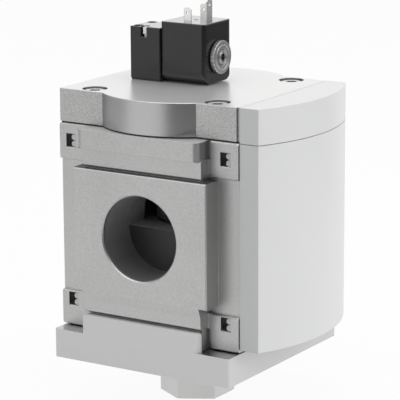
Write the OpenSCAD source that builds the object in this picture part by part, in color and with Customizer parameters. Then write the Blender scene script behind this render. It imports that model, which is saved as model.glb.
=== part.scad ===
// Soft start valve for a compressed air service line, millimetres, +Z up.
// X is the flow direction: inlet port at -X, outlet port at +X. The plastic front cover faces -Y.
// The origin is the centre of the mouth of the exhaust port, on the bottom of the hexagonal boss.

/* [Module size] */
// Width along the flow, from port face to port face
module_w = 124; // [118:1:132]
// Distance from the valve axis to the front face of the metal body
front_y = 58.6; // [57:0.2:61]
// Distance from the valve axis to the rear face
rear_y = 62; // [59:0.5:66]
// Distance of the middle of the screws and pockets behind the valve axis
pattern_y = 1.2; // [0:0.1:2]
// Height of the cast body without its gaskets
body_h = 121.6; // [117:0.2:127]
// Thickness of the gasket under the top cover
gasket_t = 1; // [0.5:0.1:1.5]
// Thickness of the gasket on the base
base_gasket_t = 0.5; // [0.3:0.1:1]
// Radius of the cast outer edges
edge_r = 2.2; // [1:0.1:3]
// Radius of the edges of the corner blocks
block_r = 1.1; // [0.6:0.1:2]

/* [Flanks and port faces] */
// Inset of the recessed flank from the port face
flank_inset = 13.2; // [12.4:0.1:15]
// Inset of the corner blocks from the port face
block_inset = 11; // [9:0.1:12]
// Inset of the top and front covers from the port face
cover_inset = 11.9; // [11.4:0.1:13]
// Height of the upper corner blocks
block_top_h = 21.3; // [19:0.1:22]
// Height of the lower corner blocks
block_low_h = 21; // [19:0.5:24]
// Distance of the corner blocks' inner edge from the middle
block_in_y = 42; // [41.5:0.1:43]
// Width of the raised port pad
pad_w = 91.2; // [87:0.2:94]
// Height of the pad above the port axis
pad_rise = 37.3; // [35:0.1:38]
// Depth of the pad below the port axis
pad_drop = 36.1; // [35:0.1:38]
// Chamfer round the pad
pad_chamfer = 0.6; // [0.3:0.1:1.5]
// Width of the band above the pad and of the slope and tab below it
band_w = 80; // [76:0.5:82]
// Height of the straight part of the band
band_h = 11; // [8:0.5:13]
// Depth of the grooves above and below the pad
groove_d = 5; // [3:0.5:6]
// Height to which the base tab covers the foot of the port face
tab_rise = 11; // [8:0.5:13]
// Radius of the corners of the tab
tab_r = 1.5; // [0.5:0.1:4]

/* [Ports] */
// Height of the port axis above the foot of the cast body
port_rise = 61.5; // [60:0.5:63]
// Radius of the port bore
port_r = 25; // [23:0.1:26]
// Depth of the port bore
port_d = 27; // [20:0.5:27]
// Chamfer at the mouth of the port
port_chamfer = 0.8; // [0.4:0.1:1.5]
// Radius of the passage behind the port bore
passage_r = 24.5; // [22:0.5:24.5]
// Thickness of the wall between each passage and the valve chamber
passage_wall = 4; // [3:0.5:7]

/* [Coupling pockets] */
// Distance of the pockets from their middle
pocket_y = 52.9; // [51.5:0.1:54]
// Width of a pocket
pocket_w = 6.6; // [6:0.1:8]
// Height of a pocket
pocket_h = 8; // [7:0.1:9]
// Depth of a pocket
pocket_d = 9; // [6:0.5:11]
// Middle of the upper pockets below the top of the body
pocket_top = 9.8; // [9:0.1:12]
// Middle of the lower pockets above the foot of the body
pocket_low = 16; // [14:0.1:16.5]
// Reach of the steel tongue out of the wall of its pocket
tongue_w = 2.9; // [2.6:0.1:3.2]
// Radius of the two lobes of a tongue
lobe_r = 1.8; // [1.5:0.1:1.8]
// Slot between the lobes
lobe_slot = 0.4; // [0.2:0.1:0.5]

/* [Valve inside] */
// Radius of the valve chambers
chamber_r = 31; // [29:0.5:32]
// Radius of the valve stem
stem_r = 5; // [4:0.5:6]
// Stroke of the valve
stroke = 8; // [5:0.5:8.5]
// Radius of the hole in the main seat
seat_r = 19; // [16:0.5:20]
// Radial thickness of the main seat ring
seat_wall = 4; // [3:0.5:5]
// Thickness of the wall that carries the main seat
partition_t = 8; // [6:0.5:10]
// Height of the main seat's lip above that wall
seat_lip = 2; // [1:0.5:3]
// Radial overlap of the main poppet over its seat hole
poppet_lap = 5; // [4:0.5:6]
// Thickness of the main poppet plate
poppet_t = 6; // [5:0.5:8]
// Thickness of the rubber seal discs
seal_t = 3; // [2:0.5:4]
// Radius of the piston cylinder
cylinder_r = 30; // [28:0.5:30]
// Wall of the piston cylinder cup
cup_wall = 4; // [3:0.5:5]
// Thickness of the floor of the cup
cup_floor = 8; // [6:0.5:10]
// Depth of the inside of the cup
cup_depth = 21.8; // [20:0.2:24]
// Thickness of the piston
piston_t = 12; // [9:0.5:12.5]
// Radial thickness of the piston seal
piston_seal = 3.2; // [2.5:0.1:4]
// Wire diameter of the return spring
spring_wire = 2.4; // [1.8:0.1:2.8]
// Mean radius of the return spring
spring_r = 17; // [14:0.5:19]
// Turns of the return spring
spring_turns = 5; // [4:0.5:5]
// Depth of the spring pocket in the top cover
spring_pocket = 13.2; // [12:0.1:14]

/* [Top cover and screws] */
// Thickness of the top cover
cover_h = 19.4; // [18.5:0.1:22]
// Radius of the round bulge over each port
bulge_r = 50.6; // [48:0.1:52]
// Inset of the top of the bulge from the port face
bulge_inset = 0.5; // [0.2:0.1:1.5]
// Distance of the cover screws from the port faces
screw_inset = 20.7; // [20.5:0.1:23]
// Half distance between the cover screws along Y
screw_y = 42; // [40:0.5:43]
// Radius of the screw shanks
screw_r = 4; // [3.5:0.5:4]
// Radius of the screw heads
screw_head_r = 6.5; // [6:0.1:6.8]
// Height of the screw heads
screw_head_h = 8; // [6:0.5:8]
// Width across the flats of the hexagon sockets
socket_af = 6; // [5:0.5:6.5]
// Radial room round the screw heads
head_room = 0.9; // [0.4:0.1:0.9]
// Depth of the screw heads below the surface
head_sink = 1; // [0.5:0.1:1.5]
// Length of the screw thread in the body
thread_l = 16; // [12:0.5:18]

/* [Front cover] */
// Wall of the plastic front covers
front_wall = 2.5; // [2:0.1:3]
// Depth of the front cover at its middle
front_d = 25; // [23:0.1:27]
// Radius of the curved front
front_r = 104; // [98:0.5:112]
// Gap between the front covers and the metal body
front_gap = 1.9; // [1:0.1:2.5]
// Gap between the upper and the lower front cover
front_seam = 0.4; // [0.2:0.1:0.5]
// Height of the front cover's lower end above the foot of the body
front_foot = 1.8; // [1:0.1:5]
// Radius of the snap pins
snap_r = 2.5; // [2:0.1:3]
// Length of the snap pins in the body
snap_l = 6; // [4:0.5:8]
// Distance of the snap pins from the port faces
snap_inset = 28; // [24:0.5:32]

/* [Base and exhaust boss] */
// Thickness of the base without its gasket
base_h = 17.5; // [16:0.5:20]
// Depth of the base towards the front and the rear of the valve axis
base_y = 60.5; // [58.5:0.1:62]
// Radius of the upright edges of the base
base_r = 1.5; // [1:0.1:4]
// Height of the hexagonal boss
boss_h = 27; // [24:0.5:30]
// Width of the boss across its flats
boss_af = 38.4; // [37:0.2:42]
// Radius of the exhaust port thread
exhaust_r = 15.15; // [14.5:0.05:15.5]
// Length of the exhaust port thread
exhaust_l = 18; // [15:0.5:19]
// Radius of the bore behind the exhaust thread
exhaust_relief_r = 17; // [16.5:0.1:17.5]
// Radius of the chamber round the exhaust poppet
exhaust_chamber_r = 21; // [19:0.5:22]
// Radius of the hole in the exhaust seat
exhaust_seat_r = 11.5; // [9.5:0.5:12]
// Thickness of the exhaust seat ring
exhaust_seat_t = 4; // [3:0.5:5]
// Radial room of the exhaust poppet in the thread
exhaust_room = 0.6; // [0.4:0.1:1]

/* [Pilot valve and solenoid] */
// Width of the pilot valve body
pilot_w = 22; // [21:0.1:24]
// Depth of the pilot valve body
pilot_l = 21.1; // [20:0.1:24]
// Height of the pilot valve body
pilot_h = 32; // [30:0.5:34]
// Place of the common left side of pilot valve and coil
pilot_x = -4.5; // [-7:0.1:-3]
// Place of the joint between pilot valve and coil
pilot_y = 22; // [20:0.1:24]
// Width of the coil
coil_w = 29.8; // [28:0.1:32]
// Depth of the coil along the armature tube
coil_l = 30.8; // [29:0.1:33]
// Height of the coil
coil_h = 36; // [35:0.1:40]
// Radius of the coil's lower long edges
coil_foot_r = 8; // [6:0.5:9]
// Radius of the coil's upright edges
coil_edge_r = 2.5; // [1:0.1:4]
// Gap under the coil
coil_gap = 0.3; // [0.2:0.1:0.5]
// Height of the armature tube above the top cover
tube_rise = 15.6; // [15:0.1:17]
// Radius of the armature tube
tube_r = 4.5; // [4:0.1:5]
// Wall of the armature tube
tube_wall = 0.5; // [0.4:0.1:0.8]
// Stroke of the armature
armature_stroke = 1.2; // [0.8:0.1:1.4]
// Radius of the coil nut
nut_r = 9.9; // [9:0.1:11]
// Thickness of the coil nut
nut_t = 2.8; // [2.6:0.1:4]
// Thickness of the washer between coil and nut
coil_washer_t = 0.6; // [0.4:0.1:1]
// Height of the power blades above the coil
blade_h = 8.6; // [7:0.1:12]
// Width of the power blades
blade_w = 4.9; // [4.5:0.1:6.3]
// Thickness of the contact blades
blade_t = 0.8; // [0.7:0.1:1]
// Distance between the two power blades
blade_pitch = 18; // [16:0.5:18.5]
// Height of the earth blade
earth_h = 12.7; // [11:0.1:14]
// Width of the earth blade
earth_w = 6.3; // [5:0.1:6.5]
// Distance of the earth blade in front of the power blades
earth_y = 8.9; // [8:0.1:10]

/* [Hand controls] */
// Width of the slot of the manual override
override_w = 4.5; // [4:0.1:6]
// Width of the tongue in that slot
override_tongue_w = 2.3; // [2:0.1:3]
// Depth of that slot below the top of the pilot valve
override_h = 6.2; // [5.5:0.1:9]
// Depth of the override's tongue below the top of the pilot valve
override_drop = 0.4; // [0.2:0.1:3]
// Travel of the manual override
override_travel = 1.5; // [1:0.1:2]
// Place of the throttle screw along X
throttle_x = 38; // [37:0.5:40]
// Place of the throttle screw along Y
throttle_y = 15; // [12:0.5:18]
// Radius of the head of the throttle screw
throttle_r = 5; // [4:0.1:5.5]
// Opening of the throttle needle above its seat
throttle_open = 1.8; // [1:0.1:2.4]

/* [Fits] */
// Radial clearance of a sliding or turning fit
run_fit = 0.05; // [0.02:0.01:0.1]
// Gap at the stops and seats of moving pieces
rest_gap = 0.3; // [0.2:0.05:0.4]
// Radial clearance round a screw shank
shank_room = 0.5; // [0.3:0.1:0.8]

/* [Hidden] */

// Overlap that lets a cut pass through a face
e = 0.5;
// Facets of round shapes
fine = 96;
small = 40;

// Levels from the exhaust mouth up
z_base = boss_h;
z_base_top = z_base + base_h;
z_body = z_base_top + base_gasket_t;
z_body_top = z_body + body_h;
z_cover = z_body_top + gasket_t;
z_top = z_cover + cover_h;
port_z = z_body + port_rise;

// Half widths
half_w = module_w / 2;
flank_x = half_w - flank_inset;
block_x = half_w - block_inset;
cover_x = half_w - cover_inset;
bulge_x = half_w - bulge_inset - bulge_r;
groove_x = half_w - groove_d;
screw_x = half_w - screw_inset;
snap_x = half_w - snap_inset;
front_back = -front_y - front_gap;
front_centre = front_back - front_d + front_r;
soft_edge = 0.8;
cover_edge = 0.3;
gasket_in = 0.6;
tab_gap = 1;
snap_end = 14;
tongue_back = 0.3;
pocket_chamfer = 0.5;

// Valve train
cup_top_z = z_cover;
cup_in_z = cup_top_z - cup_depth;
cup_foot_z = cup_in_z - cup_floor;
cup_r = cylinder_r + cup_wall;
piston_z = cup_in_z + rest_gap;
partition_z = port_z - partition_t;
seat_z = port_z + seat_lip;
seat_out_r = seat_r + seat_wall;
poppet_r = seat_r + poppet_lap;
poppet_seal_z = seat_z + rest_gap;
poppet_z = poppet_seal_z + seal_t;
passage_x = chamber_r + passage_wall;
spring_seat = 2;
spring_slack = 0.05;
spring_l = z_cover + spring_pocket - piston_z - piston_t;
seal_groove_z = piston_t * 0.375;
seal_groove_h = piston_t / 3;
piston_foot_h = piston_t * 0.3;
piston_foot_in = 3;
seal_lip = 1;
cup_groove_z = 3;
cup_groove_h = 2.6;
cup_groove_d = 2;
stem_groove = 2.5;
poppet_hub = 5;
poppet_pilot_r = seat_r - 3;
poppet_pilot_h = 1.5;

// Exhaust side
exhaust_seat_z = z_base_top - exhaust_seat_t;
exhaust_plate_r = exhaust_r - exhaust_room;
exhaust_plate_t = 3;
chamber_floor = 2;
seat_ledge = 4;
exhaust_top_z = exhaust_seat_z - stroke - rest_gap;
exhaust_foot_z = exhaust_top_z - seal_t - exhaust_plate_t;
stem_nut_t = 5;
stem_nut_af = 13;
stem_thread_r = stem_r - 1;
exhaust_hub_r = stem_r + 2;

// Screws
screw_under = z_top - head_sink - screw_head_h;
base_screw_under = z_base + head_sink + screw_head_h;
socket_d = 4;
head_chamfer = 0.6;
bore_end = 4;

// Pilot valve
pilot_screw_r = 1.5;
pilot_screw_l = 10;
pilot_head_r = 2.75;
pilot_head_h = 3;
pilot_sink = 4;
pilot_inset = 3.8;
pilot_gasket_t = 0.8;
pilot_gasket_in = 0.6;
channel_x = pilot_x + 10.9;
channel_y = cup_r + 3.5;
channel_r = 1.6;
channel_foot = 0.8;
channel_top = z_top + tube_rise - 4;
cross_z = cup_in_z + 3;

// Solenoid
coil_x = pilot_x + coil_w / 2;
coil_z = z_top + coil_gap;
coil_front = pilot_y - coil_l;
tube_z = z_top + tube_rise;
tube_in_r = tube_r - tube_wall;
coil_back = pilot_y - 0.2;
coil_top_edge = 1;
tube_seat = 8;
tube_end = coil_front - coil_washer_t - nut_t - 0.4;
tube_socket_r = 2.4;
tube_socket_d = 6;
ring_r = 3.5;
groove_t = 0.35;
blade_root = 6;
blade_y = coil_front + 14.9;
blade_tip = 1.2;
plug_hole_r = 1.25;
plug_hole_d = 7;
armature_l = 18;
armature_end = pilot_y + 5;
armature_face = armature_end - armature_l;
core_face = armature_face - armature_stroke - rest_gap;
armature_bore = 2.2;
armature_tip_r = 2;
orifice_r = 0.8;
armature_wire = 0.5;
armature_spring_l = 7;
armature_spring_out = 1;

// Hand controls
override_y = pilot_y + 11.5;
override_x = 3.5;
override_set = 1.3;
override_pin_r = 1.5;
override_pin_l = 4;
override_well = 5;
throttle_l = 12;
throttle_head_t = 2.3;
throttle_sink = 0.5;
throttle_neck_r = throttle_r - 1;
throttle_af = 4;
throttle_socket_d = 3;
spigot_r = 1.5;
spigot_l = 4;
needle_r = 2.5;
needle_room = 0.5;
needle_tip_r = 0.4;
needle_cone = 6;
needle_hole_r = 1.6;
needle_seat_z = cup_foot_z - 7;
needle_top_z = z_top - throttle_l;
needle_low_z = needle_seat_z + throttle_open
    - needle_cone * (needle_hole_r - needle_tip_r) / (needle_r - needle_tip_r);

// A rectangle with round corners, from one corner to the other
module round_rect(lo, hi, r) {
    translate([lo[0] + r, lo[1]]) square([hi[0] - lo[0] - 2 * r, hi[1] - lo[1]]);
    translate([lo[0], lo[1] + r]) square([hi[0] - lo[0], hi[1] - lo[1] - 2 * r]);
    for (x = [lo[0] + r, hi[0] - r], y = [lo[1] + r, hi[1] - r])
        translate([x, y]) circle(r = r, $fn = small);
}

// A block whose twelve edges are rounded, the upright ones by a radius of their own
module round_block(lo, hi, r, upright) {
    intersection() {
        translate([0, 0, lo[2]]) linear_extrude(hi[2] - lo[2])
            round_rect([lo[0], lo[1]], [hi[0], hi[1]], upright);
        along_y(lo[1], hi[1]) round_rect([lo[0], lo[2]], [hi[0], hi[2]], r);
        along_x(lo[0], hi[0]) round_rect([lo[1], lo[2]], [hi[1], hi[2]], r);
    }
}

// A flat shape drawn in X and Z, made solid from y0 to y1
module along_y(y0, y1) {
    translate([0, y1, 0]) rotate([90, 0, 0]) linear_extrude(y1 - y0) children();
}

// A flat shape drawn in Y and Z, made solid from x0 to x1
module along_x(x0, x1) {
    translate([x0, 0, 0]) rotate([90, 0, 90]) linear_extrude(x1 - x0) children();
}

// A plain block from one corner to the other
module block(lo, hi) {
    translate(lo) cube(hi - lo);
}

// A ring or disc on the valve axis
module disc(r, z0, z1, hole = 0) {
    translate([0, 0, z0]) difference() {
        cylinder(r = r, h = z1 - z0, $fn = fine);
        if (hole > 0) translate([0, 0, -e]) cylinder(r = hole, h = z1 - z0 + 2 * e, $fn = fine);
    }
}

// The same piece at the four screw places
module at_screws() {
    for (x = [-screw_x, screw_x], y = [pattern_y - screw_y, pattern_y + screw_y])
        translate([x, y, 0]) children();
}

// Round holes at the four screw places
module screw_bores(r, z0, z1) {
    at_screws() translate([0, 0, z0]) cylinder(r = r, h = z1 - z0, $fn = small);
}

// A round rod along X
module rod_x(r, x0, x1, facets = fine) {
    translate([x0, 0, 0]) rotate([0, 90, 0]) cylinder(r = r, h = x1 - x0, $fn = facets);
}

// A round rod along Y
module rod_y(r, y0, y1, facets = fine) {
    translate([0, y0, 0]) rotate([-90, 0, 0]) cylinder(r = r, h = y1 - y0, $fn = facets);
}

// A compression spring that stands on z = 0, with flat end turns
function coil_rise(t, turns) = min(max((t - 0.4) / (turns - 0.8), 0), 1);
module coil_spring(r, wire, length, turns, per_turn, sides) {
    rings = ceil(turns * per_turn);
    points = [for (i = [0 : rings], j = [0 : sides - 1])
        let (t = turns * i / rings, a = 360 * t, b = 360 * j / sides,
             rr = r + wire / 2 * cos(b),
             zz = wire / 2 + (length - wire) * coil_rise(t, turns) + wire / 2 * sin(b))
        [rr * cos(a), rr * sin(a), zz]];
    skin = [for (i = [0 : rings - 1], j = [0 : sides - 1])
        let (k = (j + 1) % sides)
        [i * sides + j, i * sides + k, (i + 1) * sides + k, (i + 1) * sides + j]];
    first = [for (j = [0 : sides - 1]) sides - 1 - j];
    last = [for (j = [0 : sides - 1]) rings * sides + j];
    polyhedron(points, concat(skin, [first], [last]), convexity = 8);
}

// Outline of the top cover: a rectangle with a round bulge over each port
module cover_outline(inset = 0) {
    translate([-cover_x + inset, -front_y + inset])
        square([2 * (cover_x - inset), front_y + rear_y - 2 * inset]);
    for (s = [-1, 1]) translate([s * bulge_x, 0]) circle(r = bulge_r - inset, $fn = fine);
}

// The cast body: port pads, corner blocks, band and slope on the port faces, valve bores inside
module body_outside() {
    difference() {
        union() {
            translate([0, 0, z_body]) linear_extrude(body_h)
                round_rect([-flank_x, -front_y], [flank_x, rear_y], edge_r);
            corner_blocks(z_body, z_body + block_low_h);
            corner_blocks(z_body_top - block_top_h, z_body_top);
        }
        for (sx = [-1, 1], sy = [-1, 1]) {
            y0 = sy > 0 ? band_w / 2 : -block_in_y;
            x0 = sx > 0 ? flank_x : -half_w - e;
            block([x0, y0, z_body - e], [x0 + flank_inset + e, y0 + block_in_y - band_w / 2, z_body_top + e]);
        }
    }
    for (s = [0, 180]) rotate([0, 0, s]) {
        along_y(-band_w / 2, band_w / 2) polygon([
            [0, z_body], [groove_x, z_body], [groove_x, z_body + tab_rise + 0.5],
            [half_w, port_z - pad_drop], [groove_x, port_z - pad_drop], [groove_x, port_z + pad_rise],
            [half_w, z_body_top - band_h], [half_w, z_body_top], [0, z_body_top]
        ]);
        port_pad();
    }
}

module corner_blocks(z0, z1) {
    round_block([-block_x, -front_y, z0], [block_x, rear_y, z1], block_r, block_r);
}

module port_pad() {
    c = pad_chamfer;
    y = pad_w / 2;
    z0 = port_z - pad_drop;
    z1 = port_z + pad_rise;
    intersection() {
        translate([0, 0, z0]) linear_extrude(z1 - z0)
            polygon([[0, -y], [half_w - c, -y], [half_w, c - y], [half_w, y - c], [half_w - c, y], [0, y]]);
        along_y(-y, y)
            polygon([
                [0, z0], [half_w - c, z0], [half_w, z0 + c],
                [half_w, z1 - c], [half_w - c, z1], [0, z1]
            ]);
    }
}

// Port bore, passage and the way on to one valve chamber, cut from the +X side
module port_cut() {
    translate([0, 0, port_z]) {
        rod_x(port_r, half_w - port_d, half_w + e);
        rod_x(passage_r, passage_x, half_w);
        translate([half_w - port_chamfer, 0, 0]) rotate([0, 90, 0])
            cylinder(r1 = port_r, r2 = port_r + port_chamfer + e, h = port_chamfer + e, $fn = fine);
    }
}

module main_body() {
    color([0.66, 0.66, 0.65]) difference() {
        body_outside();
        for (s = [0, 1]) mirror([s, 0, 0]) {
            port_cut();
            pocket_cuts();
        }
        // Inlet way to the upper chamber, outlet way from the lower chamber
        intersection() {
            translate([0, 0, port_z]) rod_x(passage_r, -passage_x - e, 0);
            block([-half_w, -half_w, port_z], [0, half_w, z_body_top]);
        }
        intersection() {
            translate([0, 0, port_z]) rod_x(passage_r, 0, passage_x + e);
            block([0, -half_w, z_body], [half_w, half_w, partition_z]);
        }
        disc(chamber_r, z_body - e, partition_z);
        disc(seat_out_r + run_fit, partition_z - e, port_z + e);
        disc(chamber_r, port_z, cup_foot_z + e);
        disc(cup_r + run_fit, cup_foot_z, z_body_top + e);
        screw_bores(screw_r + run_fit, z_body_top - thread_l - bore_end, z_body_top + e);
        screw_bores(screw_r + run_fit, z_body - e, z_body + thread_l + bore_end);
        snap_sockets();
        pilot_channel();
        throttle_way();
    }
}

// The same piece in the four pocket places of the +X side, its middle on Y and Z
module at_pockets() {
    for (y = [pattern_y - pocket_y, pattern_y + pocket_y], z = [z_body + pocket_low, z_body_top - pocket_top])
        translate([0, y, z]) children();
}

// Square pockets with a small chamfer along their lower edge
module pocket_cuts() {
    h = pocket_h / 2;
    c = pocket_chamfer;
    at_pockets() along_y(-pocket_w / 2, pocket_w / 2) polygon([
        [block_x - pocket_d, -h], [block_x - c, -h], [block_x + e, -h - c - e],
        [block_x + e, h], [block_x - pocket_d, h]
    ]);
}

// Air way from the pilot valve to the underside of the piston
module pilot_channel() {
    translate([channel_x, channel_y, cup_in_z + channel_foot])
        cylinder(r = channel_r, h = channel_top - cup_in_z - channel_foot, $fn = small);
    translate([channel_x, 0, cross_z]) rod_y(channel_r - 0.1, cylinder_r - 4, channel_y, small);
}

// Filling way past the needle: in from the upper chamber, down to the outlet passage
module throttle_way() {
    r = needle_r + needle_room;
    translate([throttle_x, throttle_y, 0]) {
        translate([0, 0, needle_seat_z]) cylinder(r = r, h = z_body_top - needle_seat_z + e, $fn = small);
        translate([0, 0, port_z]) cylinder(r = needle_hole_r, h = needle_seat_z - port_z + e, $fn = small);
        translate([0, 0, needle_seat_z + r + e]) rotate([0, 0, 180 + atan2(throttle_y, throttle_x)])
            rod_x(needle_r, 0, throttle_x - chamber_r / 2, small);
    }
}

// Slotted steel tongues on the wall of the coupling pockets, two round lobes each
module clamp_tongues() {
    color([0.85, 0.85, 0.84]) for (s = [0, 1]) mirror([s, 0, 0])
        at_pockets() translate([0, -pocket_w / 2, 0])
            along_x(block_x - pocket_d, block_x - tongue_back) tongue_profile();
}

module tongue_profile() {
    web = tongue_w - lobe_r;
    z = lobe_r + lobe_slot / 2;
    intersection() {
        union() {
            translate([0, -z - lobe_r / 2]) square([web - lobe_slot, 2 * z + lobe_r]);
            for (s = [-1, 1]) translate([web, s * z]) circle(r = lobe_r, $fn = small);
        }
        translate([0, -pocket_h / 2]) square([pocket_w, pocket_h]);
    }
}

// The smooth cast base with its side tabs and the hexagonal exhaust boss
module base_cover() {
    hole_z = z_base - e;
    color([0.8, 0.8, 0.79]) difference() {
        union() {
            intersection() {
                round_block([-half_w, -base_y, z_base], [half_w, base_y, z_body_top], soft_edge, base_r);
                union() {
                    block([-half_w, -base_y, z_base], [half_w, base_y, z_base_top]);
                    for (s = [0, 180]) rotate([0, 0, s]) base_tab();
                }
            }
            cylinder(r = boss_af / 2 / cos(30), h = z_base + e, $fn = 6);
        }
        translate([0, 0, -e]) cylinder(r = exhaust_r, h = z_base + 2 * e, $fn = fine);
        disc(exhaust_relief_r, exhaust_l, z_base + chamber_floor + e);
        disc(exhaust_chamber_r, z_base + chamber_floor, z_base_top + e);
        disc(exhaust_chamber_r + seat_ledge + run_fit, exhaust_seat_z, z_base_top + e);
        screw_bores(screw_r + shank_room, hole_z, z_base_top + e);
        screw_bores(screw_head_r + head_room, hole_z, base_screw_under);
    }
}

// Tab of the base that stands up in front of the foot of the port face
module base_tab() {
    y = band_w / 2;
    x = groove_x + tab_gap;
    z1 = z_body + tab_rise;
    intersection() {
        along_x(x, half_w) round_rect([-y, z_base], [y, z1], tab_r);
        along_y(-y, y) polygon([
            [x, z_base], [half_w, z_base], [half_w, z1 - soft_edge], [half_w - soft_edge, z1], [x, z1]
        ]);
    }
}

module base_gasket() {
    c = base_gasket_t;
    color([0.1, 0.1, 0.1]) difference() {
        translate([0, 0, z_base_top]) linear_extrude(base_gasket_t)
            round_rect([c - flank_x, c - front_y], [flank_x - c, base_y - c], edge_r);
        disc(chamber_r, z_base_top - e, z_body + e);
        screw_bores(screw_r + shank_room, z_base_top - e, z_body + e);
    }
}

// Hexagon socket cap screw, head up, with the underside of its head at z = 0
module cap_screw(shank) {
    r = screw_head_r;
    h = screw_head_h;
    difference() {
        union() {
            rotate_extrude($fn = small)
                polygon([[0, 0], [r, 0], [r, h - head_chamfer], [r - head_chamfer, h], [0, h]]);
            translate([0, 0, -shank]) cylinder(r = screw_r, h = shank + e, $fn = small);
        }
        translate([0, 0, h - socket_d]) cylinder(r = socket_af / 2 / cos(30), h = socket_d + e, $fn = 6);
    }
}

module cover_screws() {
    color([0.62, 0.62, 0.62])
        at_screws() translate([0, 0, screw_under]) cap_screw(screw_under - z_body_top + thread_l);
}

module base_screws() {
    color([0.62, 0.62, 0.62]) at_screws() translate([0, 0, base_screw_under]) mirror([0, 0, 1])
        cap_screw(z_body - base_screw_under + thread_l);
}

module cover_gasket() {
    color([0.08, 0.08, 0.08]) difference() {
        translate([0, 0, z_body_top]) linear_extrude(gasket_t) cover_outline(gasket_in);
        disc(cup_r + run_fit, z_body_top - e, z_cover + e);
        screw_bores(screw_r + shank_room, z_body_top - e, z_cover + e);
        pilot_channel();
        translate([throttle_x, throttle_y, z_body_top - e])
            cylinder(r = needle_r + needle_room, h = gasket_t + 2 * e, $fn = small);
    }
}

module top_cover() {
    c = cover_edge;
    x = cover_x;
    color([0.75, 0.75, 0.74]) difference() {
        union() {
            along_y(-front_y, rear_y) polygon([
                [-x, z_cover], [x, z_cover], [x, z_top - c], [x - c, z_top], [c - x, z_top], [-x, z_top - c]
            ]);
            for (s = [-1, 1]) translate([s * bulge_x, 0, z_cover]) rotate_extrude($fn = fine) polygon([
                [0, 0], [bulge_r, 0], [bulge_r, cover_h - c], [bulge_r - c, cover_h], [0, cover_h]
            ]);
        }
        screw_bores(screw_r + shank_room, z_cover - e, z_top + e);
        screw_bores(screw_head_r + head_room, screw_under, z_top + e);
        disc(spring_r + spring_wire + 1, z_cover - e, z_cover + spring_pocket);
        pilot_channel();
        snap_sockets();
        pilot_bores(pilot_screw_r + run_fit, z_top - pilot_screw_l - 2, z_top + e);
        throttle_bore(needle_r + run_fit, z_cover - e, z_top);
        throttle_bore(throttle_neck_r + run_fit, z_top - throttle_l - 2, z_top + e);
        throttle_bore(throttle_r + 1, z_top - throttle_sink - throttle_head_t - run_fit, z_top + e);
    }
}

module throttle_bore(r, z0, z1) {
    translate([throttle_x, throttle_y, z0]) cylinder(r = r, h = z1 - z0, $fn = small);
}

// Outline of the front covers: straight sides and one wide arc, reduced by a wall
module front_outline(wall) {
    intersection() {
        translate([0, front_centre]) circle(r = front_r - wall, $fn = 2 * fine);
        translate([wall - cover_x, front_back - front_d])
            square([2 * (cover_x - wall), front_d + (wall > 0 ? e : 0)]);
    }
}

module front_shell(z0, z1) {
    difference() {
        translate([0, 0, z0]) linear_extrude(z1 - z0) front_outline(0);
        translate([0, 0, z0 + front_wall]) linear_extrude(z1 - z0 - 2 * front_wall) front_outline(front_wall);
    }
}

// Places of the snap pins, as X and Z
function snap_row(z) = [[-snap_x, z], [snap_x, z]];
snap_low = concat(snap_row(z_body + snap_end), snap_row(z_body_top - snap_end));
snap_top = snap_row(z_cover + cover_h / 2);

// Round bosses from the curved wall to the metal, each with a snap pin that enters it
module snap_pins(places, z0, z1) {
    wall_r = front_r - front_wall / 2;
    intersection() {
        for (p = places) translate([p[0], 0, p[1]]) {
            rod_y(snap_r + 2, front_centre - sqrt(wall_r * wall_r - p[0] * p[0]), -front_y, small);
            rod_y(snap_r, front_back, snap_l - front_y, small);
        }
        translate([0, 0, z0]) linear_extrude(z1 - z0) union() {
            front_outline(0);
            translate([-cover_x, front_back - e]) square([2 * cover_x, e + front_gap + snap_l + e]);
        }
    }
}

module snap_sockets() {
    for (p = concat(snap_low, snap_top)) translate([p[0], 0, p[1]])
        rod_y(snap_r + run_fit, -front_y - e, snap_l + 1 - front_y, small);
}

module front_cover_lower() {
    z0 = z_body + front_foot;
    z1 = z_body_top - front_seam / 2;
    color([0.82, 0.83, 0.83]) {
        front_shell(z0, z1);
        snap_pins(snap_low, z0, z1);
    }
}

module front_cover_upper() {
    z0 = z_body_top + front_seam / 2;
    color([0.82, 0.83, 0.83]) {
        front_shell(z0, z_top);
        snap_pins(snap_top, z0, z_top);
    }
}

module main_seat() {
    z0 = port_z + seat_lip / 4;
    lip = seat_lip - seat_lip / 4;
    color([0.8, 0.65, 0.35]) difference() {
        union() {
            disc(seat_out_r, partition_z, z0);
            translate([0, 0, z0])
                cylinder(r1 = seat_out_r - 0.2, r2 = seat_r + seat_wall / 2, h = lip, $fn = fine);
        }
        disc(seat_r, partition_z - e, seat_z + e);
    }
}

// Cup that holds the piston and guides the stem, clamped between body and top cover
module cylinder_cup() {
    z = cup_foot_z + cup_groove_z;
    color([0.7, 0.7, 0.72]) difference() {
        disc(cup_r, cup_foot_z, cup_top_z, stem_r + run_fit);
        disc(cylinder_r, cup_in_z, cup_top_z + e);
        disc(stem_r + stem_groove, cup_foot_z + stem_groove, cup_foot_z + 2 * stem_groove);
        disc(cup_r + e, z, z + cup_groove_h, cup_r - cup_groove_d);
        pilot_channel();
    }
}

module stem_seal() {
    z = cup_foot_z + stem_groove;
    color([0.1, 0.1, 0.1]) disc(stem_r + stem_groove, z, z + stem_groove, stem_r + rest_gap);
}

module cup_seal() {
    z = cup_foot_z + cup_groove_z;
    color([0.1, 0.1, 0.1]) disc(cup_r, z, z + cup_groove_h, cup_r - cup_groove_d);
}

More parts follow.
